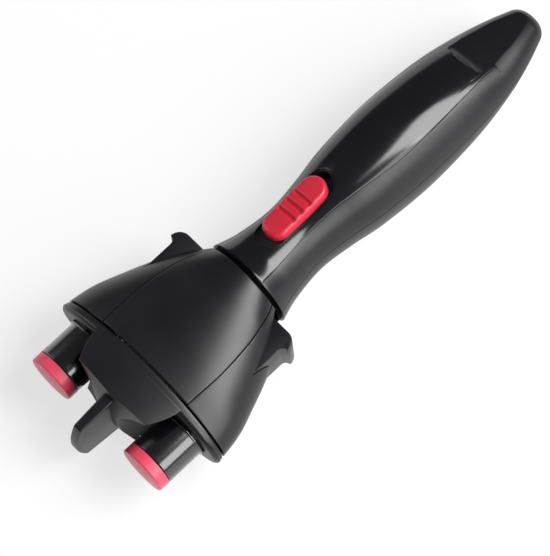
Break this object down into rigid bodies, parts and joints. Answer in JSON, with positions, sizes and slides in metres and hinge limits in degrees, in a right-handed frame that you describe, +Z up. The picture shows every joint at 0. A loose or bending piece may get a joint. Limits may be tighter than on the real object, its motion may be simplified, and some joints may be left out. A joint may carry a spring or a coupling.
{
  "type": "automatic hair braider",
  "caption": "Hand-held battery hair braider: rotating flat head with spinning hook barrels, push levers, slide switch and geared motor drive in a bulged handle.",
  "frame": {"origin": "bottom centre of the object's box, on the surface it lies on", "axes": "+X along the tool from the handle's end to the hooks, +Z up out of the flat top of the head, +Y to the left barrel seen from the handle's end"},
  "size_m": [0.2444, 0.0856, 0.0435],
  "materials": {
    "gloss_black": "gloss",
    "satin_black": "satin",
    "dark_plastic": "matte",
    "red": "satin",
    "nylon": "matte",
    "steel": "brushed",
    "brass": "satin",
    "cell_wrap": "satin",
    "lead_red": "matte",
    "lead_black": "matte"
  },
  "bodies": {
    "handle": {"handle_top_shell": "satin_black", "handle_bottom_shell": "satin_black", "handle_top_panel": "gloss_black", "handle_screws": "steel", "slot_tray": "dark_plastic", "switch_body": "dark_plastic", "motor_can": "steel", "gearbox_housing": "nylon", "cell_left": "cell_wrap", "cell_right": "cell_wrap", "battery_tray": "dark_plastic", "front_contacts": "steel", "rear_contact": "steel", "contact_springs": "steel", "lead_red": "lead_red", "lead_black": "lead_black", "neck_bearing": "nylon"},
    "battery_door": {"battery_door": "satin_black"},
    "switch_knob": {"switch_knob": "red"},
    "motor_rotor": {"motor_shaft": "steel", "motor_pinion": "brass"},
    "first_carrier": {"first_carrier": "nylon"},
    "output_carrier": {"output_carrier": "nylon"},
    "head": {"neck_sleeve": "satin_black", "retaining_clip": "steel", "head_top_cover": "satin_black", "head_bottom_cover": "satin_black", "cover_screws": "steel", "cheek_left": "satin_black", "cheek_right": "satin_black", "front_cap": "satin_black", "centre_fin": "satin_black", "gear_plate": "dark_plastic", "frame_plate": "dark_plastic", "head_screws": "steel"},
    "central": {"central_shaft": "steel", "central_gear": "nylon"},
    "planet_gear_1_1": {"planet_gear_1_1": "nylon"},
    "planet_gear_1_2": {"planet_gear_1_2": "nylon"},
    "planet_gear_1_3": {"planet_gear_1_3": "nylon"},
    "planet_gear_2_1": {"planet_gear_2_1": "nylon"},
    "planet_gear_2_2": {"planet_gear_2_2": "nylon"},
    "planet_gear_2_3": {"planet_gear_2_3": "nylon"},
    "barrel_left": {"barrel_left": "gloss_black", "barrel_ring_left": "gloss_black"},
    "hook_left": {"hook_cap_left": "red", "hook_rod_left": "steel"},
    "lever_left": {"lever_left": "satin_black", "return_spring_left": "steel"},
    "barrel_right": {"barrel_right": "gloss_black", "barrel_ring_right": "gloss_black"},
    "hook_right": {"hook_cap_right": "red", "hook_rod_right": "steel"},
    "lever_right": {"lever_right": "satin_black", "return_spring_right": "steel"}
  },
  "joints": [
    {"name": "battery_door_slide", "type": "slide", "parent": "handle", "child": "battery_door", "axis": [0, 0.2588, -0.9659], "range_m": [0, 0.03]},
    {"name": "switch_slide", "type": "slide", "parent": "handle", "child": "switch_knob", "axis": [1, 0, 0], "range_m": [-0.0034, 0.0034]},
    {"name": "motor_spin", "type": "hinge", "parent": "handle", "child": "motor_rotor", "pos_m": [-0.02283, 0, 0.02176], "axis": [1, 0, 0], "continuous": true},
    {"name": "first_carrier_spin", "type": "hinge", "parent": "handle", "child": "first_carrier", "pos_m": [0.00217, 0, 0.02176], "axis": [1, 0, 0], "continuous": true},
    {"name": "output_carrier_spin", "type": "hinge", "parent": "handle", "child": "output_carrier", "pos_m": [0.01808, 0, 0.02176], "axis": [1, 0, 0], "continuous": true},
    {"name": "head_spin", "type": "hinge", "parent": "handle", "child": "head", "pos_m": [0.03257, 0, 0.02176], "axis": [1, 0, 0], "continuous": true},
    {"name": "central_spin", "type": "hinge", "parent": "head", "child": "central", "pos_m": [0.07527, 0, 0.02176], "axis": [1, 0, 0], "continuous": true},
    {"name": "planet_gear_1_1_spin", "type": "hinge", "parent": "first_carrier", "child": "planet_gear_1_1", "pos_m": [0.00217, 0.00652, 0.02351], "axis": [1, 0, 0], "continuous": true},
    {"name": "planet_gear_1_2_spin", "type": "hinge", "parent": "first_carrier", "child": "planet_gear_1_2", "pos_m": [0.00217, -0.00477, 0.02654], "axis": [1, 0, 0], "continuous": true},
    {"name": "planet_gear_1_3_spin", "type": "hinge", "parent": "first_carrier", "child": "planet_gear_1_3", "pos_m": [0.00217, -0.00175, 0.01524], "axis": [1, 0, 0], "continuous": true},
    {"name": "planet_gear_2_1_spin", "type": "hinge", "parent": "output_carrier", "child": "planet_gear_2_1", "pos_m": [0.00898, 0.00652, 0.02351], "axis": [1, 0, 0], "continuous": true},
    {"name": "planet_gear_2_2_spin", "type": "hinge", "parent": "output_carrier", "child": "planet_gear_2_2", "pos_m": [0.00898, -0.00477, 0.02654], "axis": [1, 0, 0], "continuous": true},
    {"name": "planet_gear_2_3_spin", "type": "hinge", "parent": "output_carrier", "child": "planet_gear_2_3", "pos_m": [0.00898, -0.00175, 0.01524], "axis": [1, 0, 0], "continuous": true},
    {"name": "barrel_left_spin", "type": "hinge", "parent": "head", "child": "barrel_left", "pos_m": [0.08868, 0.0252, 0.02176], "axis": [1, 0, 0], "continuous": true},
    {"name": "lever_left_slide", "type": "slide", "parent": "head", "child": "lever_left", "axis": [1, 0, 0], "range_m": [0, 0.006], "stiffness_N_per_m": 300, "springref_m": -0.004, "deforming": ["return_spring_left"]},
    {"name": "hook_left_slide", "type": "slide", "parent": "barrel_left", "child": "hook_left", "axis": [1, 0, 0], "range_m": [0, 0.006]},
    {"name": "barrel_right_spin", "type": "hinge", "parent": "head", "child": "barrel_right", "pos_m": [0.08868, -0.0252, 0.02176], "axis": [1, 0, 0], "continuous": true},
    {"name": "lever_right_slide", "type": "slide", "parent": "head", "child": "lever_right", "axis": [1, 0, 0], "range_m": [0, 0.006], "stiffness_N_per_m": 300, "springref_m": -0.004, "deforming": ["return_spring_right"]},
    {"name": "hook_right_slide", "type": "slide", "parent": "barrel_right", "child": "hook_right", "axis": [1, 0, 0], "range_m": [0, 0.006]}
  ],
  "couplings": [
    {"joint": "first_carrier_spin", "follows": "motor_spin", "ratio": 0.22222},
    {"joint": "output_carrier_spin", "follows": "motor_spin", "ratio": 0.049383},
    {"joint": "planet_gear_1_1_spin", "follows": "motor_spin", "ratio": -0.62222},
    {"joint": "planet_gear_1_2_spin", "follows": "motor_spin", "ratio": -0.62222},
    {"joint": "planet_gear_1_3_spin", "follows": "motor_spin", "ratio": -0.62222},
    {"joint": "planet_gear_2_1_spin", "follows": "motor_spin", "ratio": -0.13827},
    {"joint": "planet_gear_2_2_spin", "follows": "motor_spin", "ratio": -0.13827},
    {"joint": "planet_gear_2_3_spin", "follows": "motor_spin", "ratio": -0.13827},
    {"joint": "barrel_left_spin", "follows": "central_spin", "ratio": -1.3333},
    {"joint": "hook_left_slide", "follows": "lever_left_slide", "ratio": 1},
    {"joint": "barrel_right_spin", "follows": "central_spin", "ratio": -1.3333},
    {"joint": "hook_right_slide", "follows": "lever_right_slide", "ratio": 1}
  ]
}
